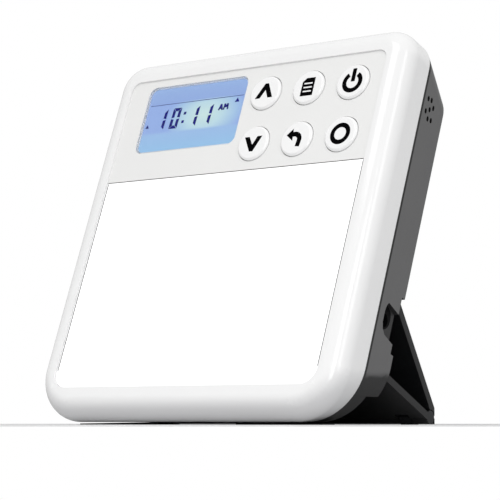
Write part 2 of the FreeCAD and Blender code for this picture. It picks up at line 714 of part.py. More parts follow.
# -------------------------------------------------------------------- sounder
def sounder():
    """A frame on the side wall behind the sound holes, and the disc on its back."""
    frame_start = "half_width - wall - sounder_thick"
    frame = new_body("sounder_frame")
    for half, cut in (("sounder_half", False), ("sounder_open", True)):
        sketch = side_sketch(frame, frame_start)
        add_square(sketch, "sound_depth", "sound_height", half)
        extrude(frame, sketch, "sounder_thick", cut=cut)
    finish(frame, lamp_frame())
    plate_body = new_body("sounder_disc")
    disc = side_sketch(plate_body, f"{frame_start} - disc_thick")
    add_circle(disc, "sound_depth", "sound_height", "sounder_disc")
    extrude(plate_body, disc, "disc_thick")
    finish(plate_body, lamp_frame())


# ---------------------------------------------------------------------- stand
HINGE_Y = "(hinge_height * sin(lean) + hinge_depth * cos(lean))"
HINGE_Z = "(seat_height + hinge_height * cos(lean) - hinge_depth * sin(lean))"


def on_floor(behind):
    """A point on the surface, seen in the leg's frame; behind is its Y before frame_back."""
    return (f"({behind} - {HINGE_Y}) * cos(splay) - {HINGE_Z} * sin(splay)",
            f"-({behind} - {HINGE_Y}) * sin(splay) - {HINGE_Z} * cos(splay)")


def stand_leg():
    """A wide plate on the case hinge, cut level and upright at its foot."""
    body = new_body("stand_leg")
    inner = "leg_outer - leg_thick"
    toe_top = ("leg_outer", f"({HINGE_Y} + leg_outer * cos(splay) - toe) / sin(splay)")
    side = side_sketch(body, "-leg_half")
    add_polygon(side, [("leg_outer", "0"), toe_top, on_floor("toe"), on_floor("heel"),
                       ("-pin_inset - knuckle", "-pin_drop"), ("-pin_inset - 2.3", "1.5 - pin_drop"),
                       (inner, "4.5 - pin_drop"), (inner, "0")])
    extrude(body, side, "2 * leg_half")
    head = side_sketch(body, "-leg_half")
    add_circle(head, "0", "0", "leg_outer")
    extrude(body, head, "2 * leg_half")
    gaps = [("-leg_half", "-ear_far"), ("-ear_near", "ear_near"), ("ear_far", "leg_half")]
    for start, end in gaps:
        between = side_sketch(body, start)
        add_box(between, "-12", f"{inner} - 0.15", "-pin_drop - 12", "6 - pin_drop")
        extrude(body, between, f"{end} - ({start})", cut=True)
        socket = side_sketch(body, start)
        add_circle(socket, "-pin_inset", "-pin_drop", "knuckle + 0.35")
        extrude(body, socket, f"{end} - ({start})", cut=True)
    bore = side_sketch(body, "-leg_half")
    add_circle(bore, "-pin_inset", "-pin_drop", "brace_pin")
    extrude(body, bore, "2 * leg_half", cut=True)
    for start in ("-leg_half", "leg_half - 8.5"):
        hinge_bore = side_sketch(body, start)
        add_circle(hinge_bore, "0", "0", "hinge_pin")
        extrude(body, hinge_bore, "8.5", cut=True)
    finish(body, leg_frame())


def stand_brace():
    """A plate from the leg's foot to the case, with two tabs that reach its grooves."""
    body = new_body("stand_brace")
    low, high = "-brace_inner", "brace_thick - brace_inner"
    board = side_sketch(body, "-leg_half")
    add_box(board, low, high, "0", "brace_length")
    extrude(body, board, "2 * leg_half")
    knuckle = side_sketch(body, "-leg_half")
    add_circle(knuckle, "0", "0", "knuckle")
    extrude(body, knuckle, "2 * leg_half")
    for start in ("-ear_far - ear_gap", "ear_near - ear_gap"):
        slot = side_sketch(body, start)
        add_box(slot, "-knuckle - 1", "knuckle + 1", "-knuckle - 1", "ear_slot")
        extrude(body, slot, "ear_far - ear_near + 2 * ear_gap", cut=True)
    for side in ("-", ""):
        tab = side_sketch(body, f"{side}tab_offset - tab_width / 2")
        add_box(tab, low, high, "brace_length - 1", "tab_length")
        extrude(body, tab, "tab_width")
    bore = side_sketch(body, "-leg_half")
    add_circle(bore, "0", "0", "brace_pin + run_fit")
    extrude(body, bore, "leg_half + pin_half + 0.3", cut=True)
    finish(body, brace_frame())


def stand_pins():
    hinges = new_body("leg_hinge_pins")
    for start in ("-recess_half - 1.8", "leg_half - 8.5"):
        sketch = side_sketch(hinges, start)
        add_circle(sketch, "0", "0", "hinge_pin")
        extrude(hinges, sketch, "recess_half + 10.3 - leg_half")
    finish(hinges, leg_frame())
    pin = new_body("brace_hinge_pin")
    sketch = side_sketch(pin, "-pin_half")
    add_circle(sketch, "-pin_inset", "-pin_drop", "brace_pin")
    extrude(pin, sketch, "2 * pin_half")
    finish(pin, leg_frame())


def foot_pads():
    """Two rubber strips under the flat bottom of the case."""
    body = new_body("foot_pads")
    strips = new_sketch(body, "XY_Plane", "0")
    for left, right in (("-50", "-20"), ("20", "50")):
        add_box(strips, left, right, "frame_back - pad_front", "frame_back - pad_back")
    pad = body.newObject("PartDesign::Pad", "foot_pads_pad")
    pad.Profile = strips
    pad.setExpression("Length", bound("pad_thickness"))
    finish(body, FreeCAD.Placement())


# ----------------------------------------------------------------- build, write
def build_lamp():
    front_bezel()
    rear_cover()
    control_panel()
    front_plates()
    display_module()
    for name, across, up in button_centres():
        button(name, across, up)
    tact_switches()
    control_board()
    case_screws()
    light_engine()
    power_inlet()
    sounder()
    stand_leg()
    stand_brace()
    stand_pins()
    foot_pads()
    document.recompute()


def check_document():
    for item in document.Objects:
        if "Invalid" in item.State or "Error" in item.State:
            raise RuntimeError(f"{item.Name} failed: {item.State}")
    for piece in PIECES:
        if piece.Shape.isNull() or not piece.Shape.isValid():
            raise RuntimeError(f"{piece.Label} has no valid shape")


def write_pieces():
    os.makedirs("parts", exist_ok=True)
    whole = FreeCAD.BoundBox()
    for piece in PIECES:
        piece.Shape.exportStep(f"parts/{piece.Label}.step")
        whole.add(piece.Shape.optimalBoundingBox())
        print(f"{piece.Label}: {len(piece.Shape.Solids)} solids, {piece.Shape.Volume:.0f} mm3")
    print(f"middle of the footprint at Y = {whole.Center.y:.3f}, lowest point at Z = {whole.ZMin:.3f}")
    print(f"size {whole.XLength:.1f} x {whole.YLength:.1f} x {whole.ZLength:.1f} mm, {len(PIECES)} pieces")


build_lamp()
check_document()
write_pieces()
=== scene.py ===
import json
import math
import bmesh
import bpy
from mathutils import Matrix, Vector

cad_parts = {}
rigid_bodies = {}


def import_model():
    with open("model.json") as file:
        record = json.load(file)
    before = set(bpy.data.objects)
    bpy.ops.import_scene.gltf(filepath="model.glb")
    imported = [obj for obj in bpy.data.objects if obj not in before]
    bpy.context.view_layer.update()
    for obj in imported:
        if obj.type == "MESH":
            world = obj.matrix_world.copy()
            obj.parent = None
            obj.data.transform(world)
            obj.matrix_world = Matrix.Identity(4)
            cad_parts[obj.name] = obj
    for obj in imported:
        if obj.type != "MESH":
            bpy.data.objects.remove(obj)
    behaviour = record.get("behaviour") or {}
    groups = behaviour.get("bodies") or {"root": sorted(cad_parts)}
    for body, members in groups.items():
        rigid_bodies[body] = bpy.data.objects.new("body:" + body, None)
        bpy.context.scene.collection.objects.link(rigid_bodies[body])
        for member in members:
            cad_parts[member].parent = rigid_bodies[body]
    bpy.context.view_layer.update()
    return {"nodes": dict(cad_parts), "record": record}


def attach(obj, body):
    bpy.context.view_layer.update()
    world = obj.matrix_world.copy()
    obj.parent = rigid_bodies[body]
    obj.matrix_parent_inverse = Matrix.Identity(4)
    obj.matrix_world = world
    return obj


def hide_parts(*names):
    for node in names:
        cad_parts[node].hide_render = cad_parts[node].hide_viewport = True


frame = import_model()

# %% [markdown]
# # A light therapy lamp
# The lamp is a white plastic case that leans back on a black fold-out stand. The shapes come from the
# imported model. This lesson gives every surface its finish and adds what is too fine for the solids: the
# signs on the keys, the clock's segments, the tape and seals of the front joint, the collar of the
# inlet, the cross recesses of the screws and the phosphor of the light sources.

MM = 0.001
NODES = frame["nodes"]

# %% [markdown]
# ## The case's own directions
# The case leans back, so its front face is tilted. Places on it could be worked out one by one in the
# scene's axes, but they are easier to read with three directions of the case itself: across, up the
# face, and into the case. The lean is a known angle, and the front and the lower edge of the control
# panel fix the origin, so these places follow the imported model.

# %% directions of the case
LEAN = math.radians(20.72)
ACROSS = Vector((1, 0, 0))
UP_FACE = Vector((0, math.sin(LEAN), math.cos(LEAN)))
INTO = Vector((0, math.cos(LEAN), -math.sin(LEAN)))


def reach(node, direction):
    """Lowest and highest value of a node along a direction, in metres."""
    values = [vertex.co.dot(direction) for vertex in NODES[node].data.vertices]
    return min(values), max(values)


JOINT_GAP = 0.2
PANEL_FACE = reach("control_panel", INTO)[0]
PANEL_LOW = reach("control_panel", UP_FACE)[0]
FACE_ORIGIN = INTO * PANEL_FACE + UP_FACE * (PANEL_LOW - JOINT_GAP * MM)


def face_step(across, up, depth=0.0):
    """A step across and up the front face and into the case, given in millimetres."""
    return (ACROSS * across + UP_FACE * up + INTO * depth) * MM


def on_face(across, up, depth=0.0):
    """A point of the case, in millimetres: across and up its front face, and behind the panels."""
    return FACE_ORIGIN + face_step(across, up, depth)


def face_span(node, direction):
    """Lowest and highest place of a node along a direction, in millimetres from the face's origin."""
    return [(value - FACE_ORIGIN.dot(direction)) / MM for value in reach(node, direction)]


print("front face origin:", [round(c, 4) for c in FACE_ORIGIN])

# %% [markdown]
# ## Colours and nodes
# Colours are written as sRGB hex values, as a paint chart gives them, and one function turns them into
# the linear values that a shader works with. Nodes could be made and linked line by line. Here one
# function adds a node with its settings and its links, which keeps every finish short, and it serves
# materials, the world and the instance tree alike. Patterns are sized in real millimetres.

# %% colour and node helpers
def linear(code):
    """An sRGB hex colour as linear RGBA."""
    parts = [int(code[i:i + 2], 16) / 255 for i in (1, 3, 5)]
    return [c / 12.92 if c <= 0.04045 else ((c + 0.055) / 1.055) ** 2.4 for c in parts] + [1.0]


def emptied(owner):
    """A material or a world whose node tree is ready to be filled."""
    owner.use_nodes = True
    owner.node_tree.nodes.clear()
    return owner


def add(owner, kind, inputs=None, **settings):
    """Add a node to a material, world or node group. Inputs are values, or (node, output) to link."""
    tree = getattr(owner, "node_tree", owner)
    made = tree.nodes.new(kind)
    for name, setting in settings.items():
        setattr(made, name, setting)
    for socket, given in (inputs or {}).items():
        if isinstance(given, tuple) and isinstance(given[0], bpy.types.Node):
            tree.links.new(given[0].outputs[given[1]], made.inputs[socket])
        else:
            made.inputs[socket].default_value = given
    return made


def pattern_place(material, size):
    """Object coordinates on which one unit of a pattern is the given number of millimetres."""
    place = add(material, "ShaderNodeTexCoord")
    scale = 1 / (size * MM)
    scaled = add(material, "ShaderNodeMapping", {"Vector": (place, "Object"), "Scale": (scale,) * 3})
    return scaled, "Vector"


print("white case colour, linear:", [round(c, 3) for c in linear("#F6F6F6")])

# %% [markdown]
# ## Shade under the case and at the parting line
# Less light reaches what faces the table, and the front edge of the rear cover lies in the shadow of the
# bezel. The lamps alone would need many samples to draw such narrow shades cleanly, so two functions
# bring them into the colour: one by where the surface faces, one by how deep in the case it lies.

# %% the two shades
SEAM_SHADOW = "#0A0A0A"


def shaded_below(material, colour, shade, first, last):
    """Bring in a second colour between two heights of the normal, as the surface turns to the table."""
    surface = add(material, "ShaderNodeNewGeometry")
    facing = add(material, "ShaderNodeSeparateXYZ", {"Vector": (surface, "Normal")})
    turned = add(material, "ShaderNodeMapRange",
                 {"Value": (facing, "Z"), "From Min": first, "From Max": last},
                 interpolation_type="SMOOTHSTEP")
    return add(material, "ShaderNodeMix",
               {"Factor": (turned, "Result"), "A": (colour, "Result"), "B": linear(shade)},
               data_type="RGBA")


def shaded_seam(material, colour, deep):
    """Darken what lies less deep in the case than the given millimetres."""
    place = add(material, "ShaderNodeTexCoord")
    depth = add(material, "ShaderNodeVectorMath", {0: (place, "Object"), 1: tuple(INTO)},
                operation="DOT_PRODUCT")
    close = add(material, "ShaderNodeMath",
                {0: (depth, "Value"), 1: FACE_ORIGIN.dot(INTO) + deep * MM}, operation="LESS_THAN")
    return add(material, "ShaderNodeMix",
               {"Factor": (close, "Value"), "A": (colour, "Result"), "B": linear(SEAM_SHADOW)},
               data_type="RGBA")


print("seam shadow:", SEAM_SHADOW)

# %% [markdown]
# ## Moulded plastics
# Most of the lamp is injection-moulded ABS. What the eye sees of it is its colour, its gloss, and a very
# slight unevenness where the plastic shrank behind ribs. A textured mould leaves a fine grain instead.
# A painted texture could show both, but it would need an image and a place for it on every part. One
# function makes them from noise: a broad mottle varies colour and roughness, and a fine noise is the
# grain. It serves rubber, inks and gels as well, because they differ only in the numbers.

# %% moulded plastic
MOTTLE = 18
COAT_ROUGHNESS = 0.06


def moulded(name, colours, gloss, grain, coat=0.0, ior=1.54, below=None, seam=None):
    """A moulded material: two near colours, roughness and its spread, grain size and depth in mm.

    below is the painted shade of what faces the table, and the two heights of the normal between which it
    comes in. seam is the depth in the case, in millimetres, up to which the seam's painted shadow reaches.
    """
    light, dark = colours
    roughness, spread = gloss
    grain_size, grain_depth = grain
    material = emptied(bpy.data.materials.new(name))
    mottle = add(material, "ShaderNodeTexNoise",
                 {"Vector": pattern_place(material, MOTTLE), "Scale": 1.0, "Detail": 3.0})
    colour = add(material, "ShaderNodeMix",
                 {"Factor": (mottle, "Fac"), "A": linear(dark), "B": linear(light)}, data_type="RGBA")
    if below:
        colour = shaded_below(material, colour, *below)
    if seam:
        colour = shaded_seam(material, colour, seam)
    rough = add(material, "ShaderNodeMapRange",
                {"Value": (mottle, "Fac"), "To Min": roughness - spread, "To Max": roughness + spread})
    fine = add(material, "ShaderNodeTexNoise",
               {"Vector": pattern_place(material, grain_size), "Scale": 1.0, "Detail": 2.0})
    bump = add(material, "ShaderNodeBump",
               {"Height": (fine, "Fac"), "Strength": 1.0, "Distance": grain_depth * MM})
    shader = add(material, "ShaderNodeBsdfPrincipled",
                 {"Base Color": (colour, "Result"), "Roughness": (rough, "Result"),
                  "Normal": (bump, "Normal"), "IOR": ior, "Coat Weight": coat,
                  "Coat Roughness": COAT_ROUGHNESS})
    add(material, "ShaderNodeOutputMaterial", {"Surface": (shader, "BSDF")})
    return material


print("mottle:", MOTTLE, "mm")

# %% the plastics and the rubber
# A polished mould gives a clear gloss over white, and the thin coat sharpens what it mirrors. The faces
# that turn to the table are painted a grey shade.
WHITE_CASE_AND_SHADE = moulded("glossy_white_abs_and_shade", ("#F6F6F6", "#F3F3F3"), (0.14, 0.02), (9.0, 0.004), coat=0.3,
                     below=("#D4D4D5", 0.3, -0.45))
# The same plastic without the coat is whiter, with softer highlights. In the joint round the panels it is
# painted light.
WHITE_KEY_AND_LIGHT = moulded("polished_white_abs_and_light", ("#F9F9F9", "#F6F6F6"), (0.2, 0.02), (6.0, 0.002))
# A satin mould gives an even pale grey that mirrors nothing clearly.
PANEL_GREY = moulded("satin_grey_abs", ("#EFEFEE", "#ECECEB"), (0.5, 0.03), (0.9, 0.002))
# A spark-eroded mould leaves a grain that spreads every highlight over the wall. The grain is drawn
# coarser than a real one, so that it shows. The faces that turn to the table are painted near black as
# shade, and the front edge is painted black as the bezel's shadow.
COVER_GREY_AND_SHADE = moulded("grained_charcoal_abs_and_shade", ("#626262", "#5B5B5C"), (0.46, 0.05), (0.45, 0.012),
                     ior=1.48, below=("#0E0E0F", -0.04, -0.2), seam=16.4)
# A rougher patch of that mould is duller, and its darker colour is painted shade in the pocket round the
# inlet.
POCKET_PAINTED_SHADE = moulded("coarse_charcoal_abs_painted_shade", ("#29292A", "#1A1A1B"), (0.6, 0.05), (0.9, 0.05))
# The cover's grain on black plastic gives a low, broad sheen.
STAND_BLACK = moulded("grained_black_abs", ("#131416", "#0E0F11"), (0.44, 0.05), (0.45, 0.012), ior=1.46)
# Filled polyester without gloss is black, and here it is made dead black as painted shade at the mouth
# of the inlet.
SOCKET_BLACK_AND_SHADE = moulded("matt_black_pbt_and_shade", ("#060607", "#040405"), (0.7, 0.04), (0.6, 0.004), ior=1.2)
# Black plastic from a plain mould is a dull near-black, for what hardly shows. The same black is painted
# as shade inside the sound holes, on the diffuser's edges, in the strips beside the diffuser and in the
# screws' cross recesses.
BLACK_PLASTIC_AND_SHADE = moulded("plain_black_abs_and_shade", ("#141416", "#101012"), (0.5, 0.04), (0.8, 0.006))
# Polyester full of white pigment is a warm, matt white that throws the light forwards.
TRAY_WHITE = moulded("reflecting_white_pbt", ("#F2F1EC", "#ECEBE5"), (0.6, 0.05), (0.8, 0.004))
# Rubber is near black with hardly any highlight.
RUBBER = moulded("moulded_nitrile_rubber", ("#242526", "#1C1D1E"), (0.8, 0.05), (0.5, 0.02))
print("plastics made")

# %% [markdown]
# ## The opal diffuser
# The diffuser is opal acrylic. Light from the sources behind it scatters inside, so the panel glows
# almost evenly: a little stronger over the middle than near the edges. Real scattering would take many
# samples to come out clean, so the panel gives light of its own, and its colour falls off from the
# middle. A fine haze of the surface softens the gloss.

# %% opal acrylic
GLOW_MIDDLE, GLOW_REACH = on_face(0, -46), 85
GLOW_AT_EDGE = 0.9
HAZE, HAZE_DEPTH = 0.24, 0.002


def opal_acrylic():
    """A soft, milky white that glows by itself and keeps a faint gloss."""
    material = emptied(bpy.data.materials.new("lit_opal_acrylic"))
    place = add(material, "ShaderNodeTexCoord")
    away = add(material, "ShaderNodeVectorMath", {0: (place, "Object"), 1: tuple(GLOW_MIDDLE)},
               operation="DISTANCE")
    fall = add(material, "ShaderNodeMapRange",
               {"Value": (away, "Value"), "From Min": 0.0, "From Max": GLOW_REACH * MM,
                "To Min": 1.0, "To Max": GLOW_AT_EDGE})
    glow = add(material, "ShaderNodeMix",
               {"Factor": (fall, "Result"), "A": linear("#EEF1F5"), "B": linear("#FFFFFF")},
               data_type="RGBA")
    haze = add(material, "ShaderNodeTexNoise", {"Vector": pattern_place(material, HAZE), "Scale": 1.0})
    bump = add(material, "ShaderNodeBump", {"Height": (haze, "Fac"), "Distance": HAZE_DEPTH * MM})
    shader = add(material, "ShaderNodeBsdfPrincipled",
                 {"Base Color": (glow, "Result"), "Roughness": 0.3, "IOR": 1.49,
                  "Normal": (bump, "Normal"), "Emission Color": (glow, "Result"),
                  "Emission Strength": 0.35})
    add(material, "ShaderNodeOutputMaterial", {"Surface": (shader, "BSDF")})
    return material


OPAL = opal_acrylic()
print("opal acrylic made")

# %% [markdown]
# ## The display
# A liquid crystal display shows dark segments on a lit background. The backlight is a light guide with
# its sources at one edge, so its glow is uneven: blue-lilac, with a paler spot towards the right. Two
# colour ramps draw this, one by the distance from the spot and one by height, and a third keeps the spot
# to the band in which the digits stand. A picture could show it too, but ramps stay sharp at any size.

# %% liquid crystal
SPOT_MIDDLE, SPOT_HALVES = on_face(-22.5, 29.0, 1.3), (21, 13, 13)
DISPLAY_HALF = 15.5
SPOT_COLOURS = [(0.0, "#D2EADF"), (0.45, "#C3E0E4"), (0.8, "#A6C6E3"), (1.0, "#98B2E3")]
BAND_COLOURS = [(0.0, "#99C6E6"), (0.3, "#A0C0E5"), (0.74, "#93ADDD"), (1.0, "#9AB7E1")]
SPOT_LIMITS = [(0.27, "#000000"), (0.31, "#FFFFFF"), (0.73, "#FFFFFF"), (0.75, "#000000")]


def with_stops(ramp, stops):
    """A colour ramp that has been given its (position, colour) stops."""
    elements = ramp.color_ramp.elements
    while len(elements) < len(stops):
        elements.new(0.5)
    for element, (position, code) in zip(elements, stops):
        element.position = position
        element.color = linear(code)
    return ramp


def lit_liquid_crystal():
    """A cool, even glow behind a surface that mirrors little."""
    material = emptied(bpy.data.materials.new("backlit_liquid_crystal"))
    place = add(material, "ShaderNodeTexCoord")
    offset = add(material, "ShaderNodeVectorMath", {0: (place, "Object"), 1: tuple(SPOT_MIDDLE)},
                 operation="SUBTRACT")
    squeeze = add(material, "ShaderNodeVectorMath",
                  {0: (offset, "Vector"), 1: tuple(1 / (half * MM) for half in SPOT_HALVES)},
                  operation="MULTIPLY")
    away = add(material, "ShaderNodeVectorMath", {0: (squeeze, "Vector")}, operation="LENGTH")
    rise = add(material, "ShaderNodeVectorMath", {0: (offset, "Vector"), 1: tuple(UP_FACE)},
               operation="DOT_PRODUCT")
    height = add(material, "ShaderNodeMapRange",
                 {"Value": (rise, "Value"), "From Min": -DISPLAY_HALF * MM, "From Max": DISPLAY_HALF * MM})
    spot = with_stops(add(material, "ShaderNodeValToRGB", {"Fac": (away, "Value")}), SPOT_COLOURS)
    bands = with_stops(add(material, "ShaderNodeValToRGB", {"Fac": (height, "Result")}), BAND_COLOURS)
    limits = with_stops(add(material, "ShaderNodeValToRGB", {"Fac": (height, "Result")}), SPOT_LIMITS)
    picture = add(material, "ShaderNodeMix",
                  {"Factor": (limits, "Color"), "A": (bands, "Color"), "B": (spot, "Color")},
                  data_type="RGBA")
    shader = add(material, "ShaderNodeBsdfPrincipled",
                 {"Base Color": linear("#20242C"), "Roughness": 0.25, "IOR": 1.3,
                  "Emission Color": (picture, "Result"), "Emission Strength": 0.95})
    add(material, "ShaderNodeOutputMaterial", {"Surface": (shader, "BSDF")})
    return material


LIQUID_CRYSTAL = lit_liquid_crystal()
print("liquid crystal made, half height", DISPLAY_HALF, "mm")

# %% [markdown]
# ## The window and the inks
# The window is clear polycarbonate, and its polish varies a little. The segments and the signs are thin
# dark films. The IOR of window and films is set below the real one, because at the real value the room's
# reflection would grey everything dark here.

# %% window and inks
SMEAR = 1.2


def clear_polycarbonate():
    """A clear window with a faint smear in its gloss."""
    material = emptied(bpy.data.materials.new("clear_polycarbonate"))
    smear = add(material, "ShaderNodeTexNoise", {"Vector": pattern_place(material, SMEAR), "Scale": 1.0})
    rough = add(material, "ShaderNodeMapRange", {"Value": (smear, "Fac"), "To Min": 0.0, "To Max": 0.03})
    shader = add(material, "ShaderNodeBsdfPrincipled",
                 {"Base Color": linear("#F3F7FF"), "Roughness": (rough, "Result"), "IOR": 1.2,
                  "Transmission Weight": 1.0})
    add(material, "ShaderNodeOutputMaterial", {"Surface": (shader, "BSDF")})
    return material


CLEAR = clear_polycarbonate()
# Crystal that has turned takes nearly all the backlight and leaves a deep ink blue.
SEGMENT_INK = moulded("dark_crystal_segment", ("#050A7C", "#04086E"), (0.8, 0.02), (1.0, 0.0005), ior=1.05)
# A rule that is too thin to block the light reads as a soft slate blue.
RULE_INK = moulded("thin_crystal_rule", ("#5C6CA0", "#556598"), (0.4, 0.02), (1.0, 0.0005), ior=1.15)
# Pad printing leaves a flat, matt black that stands off from the glossy key.
KEY_INK = moulded("pad_printed_black", ("#060607", "#040405"), (0.7, 0.04), (0.6, 0.002), ior=1.06)
print("window and inks made")

# %% [markdown]
# ## Metals and boards
# Screws and pins are zinc-plated steel and the sounder's disc is rolled brass. Their crystals scatter
# highlights a little, and they are drawn much coarser than real ones, so that they show. A circuit
# board is glass cloth in epoxy under green solder resist, and the weave shows faintly as a fine check.
# Cells of noise and a checker are the plainest patterns with these looks.

# %% metal and board
CRYSTAL, WEAVE = 0.08, 0.5


def crystalline_metal(name, colour):
    """Plain metal whose roughness changes from crystal to crystal, so that its shine looks frosted."""
    material = emptied(bpy.data.materials.new(name))
    crystals = add(material, "ShaderNodeTexVoronoi",
                   {"Vector": pattern_place(material, CRYSTAL), "Scale": 1.0})
    rough = add(material, "ShaderNodeMapRange",
                {"Value": (crystals, "Distance"), "To Min": 0.25, "To Max": 0.4})
    shader = add(material, "ShaderNodeBsdfPrincipled",
                 {"Base Color": linear(colour), "Metallic": 1.0, "Roughness": (rough, "Result")})
    add(material, "ShaderNodeOutputMaterial", {"Surface": (shader, "BSDF")})
    return material


def epoxy_board():
    """Smooth green resist in which the weave below is just seen."""
    material = emptied(bpy.data.materials.new("green_glass_epoxy"))
    weave = add(material, "ShaderNodeTexChecker",
                {"Vector": pattern_place(material, WEAVE), "Color1": linear("#1E6B3C"),
                 "Color2": linear("#1B6237"), "Scale": 1.0})
    shader = add(material, "ShaderNodeBsdfPrincipled",
                 {"Base Color": (weave, "Color"), "Roughness": 0.35, "IOR": 1.5})
    add(material, "ShaderNodeOutputMaterial", {"Surface": (shader, "BSDF")})
    return material


STEEL = crystalline_metal("zinc_plated_steel", "#C4C6CA")
BRASS = crystalline_metal("rolled_brass", "#D2B26A")
BOARD = epoxy_board()
# Silicone gel full of phosphor is a flat, warm yellow while it is unlit.
PHOSPHOR = moulded("yellow_phosphor_gel", ("#F2D767", "#E8C94E"), (0.35, 0.03), (0.3, 0.004))
# A frosted light guide is pale blue and evenly soft.
LIGHT_GUIDE = moulded("frosted_light_guide", ("#DDE8F8", "#D3E0F5"), (0.4, 0.03), (0.5, 0.002))
print("metal and board made")

# %% [markdown]
# ## Placing pieces
# Every piece is an object at the origin that rides on one body of the lamp. Modifiers are good for making
# a piece, but the scene keeps nothing live, so an object that carries them is turned into a plain mesh and
# removed first.

# %% helpers that place pieces
MERGE_WITHIN = 0.002 * MM


def in_scene(name, data):
    """A new object in the scene."""
    made = bpy.data.objects.new(name, data)
    bpy.context.scene.collection.objects.link(made)
    return made


def settled(carrier):
    """What an object's modifiers make of it, as one plain mesh. The object is removed."""
    graph = bpy.context.evaluated_depsgraph_get()
    mesh = bpy.data.meshes.new_from_object(carrier.evaluated_get(graph), preserve_all_data_layers=True,
                                           depsgraph=graph)
    bpy.data.objects.remove(carrier)
    return mesh


def placed(name, mesh, body, stands_for=None):
    """A piece of the lamp from a mesh. It may stand for one of the solids."""
    piece = in_scene(name, mesh)
    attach(piece, body)
    if stands_for:
        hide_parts(stands_for)
    return piece


def merged(node):
    """A node's triangles as a bmesh in which doubled points are merged."""
    work = bmesh.new()
    work.from_mesh(NODES[node].data)
    bmesh.ops.remove_doubles(work, verts=work.verts, dist=MERGE_WITHIN)
    return work


print("points closer than", MERGE_WITHIN / MM, "mm are merged")

# %% [markdown]
# ## Smooth shells
# The solids arrive as loose triangles, which would show as facets on glossy, rounded plastic. More
# triangles would hide the facets at a high cost. Here each solid is copied, its doubled points are
# merged, and faces that meet at a small angle are shaded as one curve, in which the larger faces lead.
# The rims of the keys are a plain bevel in the solids, so they are rounded. The copy then stands for
# the solid, and the solid itself stays as it is.

# %% finished copies of the solids
SMOOTH_ANGLE = math.radians(32)
RIM_ANGLE, RIM_SOFT = math.radians(45), 0.22 * MM
BODY_OF = {node: body for body, nodes in frame["record"]["behaviour"]["bodies"].items() for node in nodes}


def finished(node, material):
    """A merged, smoothly shaded copy of a node, in its finish, riding on the node's body."""
    work = merged(node)
    if node.startswith("button_"):
        rims = [edge for edge in work.edges if abs(edge.calc_face_angle(0) - RIM_ANGLE) < RIM_ANGLE / 8]
        bmesh.ops.bevel(work, geom=rims, offset=RIM_SOFT, segments=3, profile=0.5, affect="EDGES")
    for face in work.faces:
        face.smooth = True
        face.material_index = 0
    for edge in work.edges:
        edge.smooth = len(edge.link_faces) == 2 and edge.calc_face_angle(0) < SMOOTH_ANGLE
    mesh = NODES[node].data.copy()
    mesh.materials.clear()
    mesh.materials.append(material)
    work.to_mesh(mesh)
    work.free()
    if mesh.has_custom_normals:
        mesh.normals_split_custom_set([(0.0, 0.0, 0.0)] * len(mesh.loops))
    name = f"{node}_finished"
    carrier = in_scene(name, mesh)
    carrier.modifiers.new("Weigh", "WEIGHTED_NORMAL").keep_sharp = True
    return placed(name, settled(carrier), BODY_OF[node], stands_for=node)


print("solids that ride on a body:", len(BODY_OF))

# %% which solid has which finish
FINISHES = {
    "front_bezel": WHITE_CASE_AND_SHADE, "rear_cover": COVER_GREY_AND_SHADE, "control_panel": PANEL_GREY,
    "diffuser_panel": OPAL, "lcd_window": CLEAR, "lcd_glass": LIQUID_CRYSTAL,
    "lcd_backlight": LIGHT_GUIDE, "lcd_frame": BLACK_PLASTIC_AND_SHADE, "tact_switches": BLACK_PLASTIC_AND_SHADE,
    "control_board": BOARD, "board_components": BLACK_PLASTIC_AND_SHADE, "case_screws": STEEL,
    "reflector_tray": TRAY_WHITE, "led_board": BOARD, "led_packages": TRAY_WHITE, "dc_jack": SOCKET_BLACK_AND_SHADE,
    "jack_contact": STEEL, "sounder_frame": BLACK_PLASTIC_AND_SHADE, "sounder_disc": BRASS, "stand_leg": STAND_BLACK,
    "stand_brace": STAND_BLACK, "leg_hinge_pins": STEEL, "brace_hinge_pin": STEEL, "foot_pads": RUBBER,
}
KEYS = ("up", "menu", "power", "down", "back", "select")
FINISHES.update({f"button_{key}": WHITE_KEY_AND_LIGHT for key in KEYS})
PIECES = {node: finished(node, material) for node, material in FINISHES.items()}
print("finished copies:", len(PIECES), "of", len(NODES), "nodes")

# %% [markdown]
# ## Faces with a finish or painted shade of their own
# The inlet sits in a shallow pocket of the cover's side, where the mould was left rougher, and the pocket
# is painted darker than the wall round it as shade. The sound holes are painted black inside as shade. The
# diffuser's edges are painted black as the shade in the joint round it, and the inner wall of the bezel's
# opening takes the keys' white, which lacks the coat and the painted shade of what faces the table. These
# faces could be split off as pieces, but a second material on the same mesh keeps the shell closed. They
# are picked by the box that holds their centres: across, up the face, and behind it, in millimetres.

# %% faces picked by place
POCKET = (73.4, -76, 19.0), (75.45, -50, 40)
SOUND_HOLES = (73.2, 20, 15.5), (75.4, 37, 27)
DIFFUSER_EDGES = (-70, -95, 0.05), (70, 5, 1.95)
BEZEL_OPENING = (-66.05, -92.35, -0.78), (66.05, 47.75, 2.05)


def face_place(polygon):
    """A face's centre: across, up the face, and behind it, in millimetres."""
    centre = polygon.center
    behind = centre - FACE_ORIGIN
    return centre.x / MM, behind.dot(UP_FACE) / MM, behind.dot(INTO) / MM


def repaint(node, material, lows, highs):
    """Give a material, a finish or painted shade, to the faces whose centre lies between two places."""
    mesh = PIECES[node].data
    mesh.materials.append(material)
    chosen = [polygon for polygon in mesh.polygons
              if all(low < at < high for low, at, high in zip(lows, face_place(polygon), highs))]
    for polygon in chosen:
        polygon.material_index = len(mesh.materials) - 1
    print(node, material.name, "faces:", len(chosen))


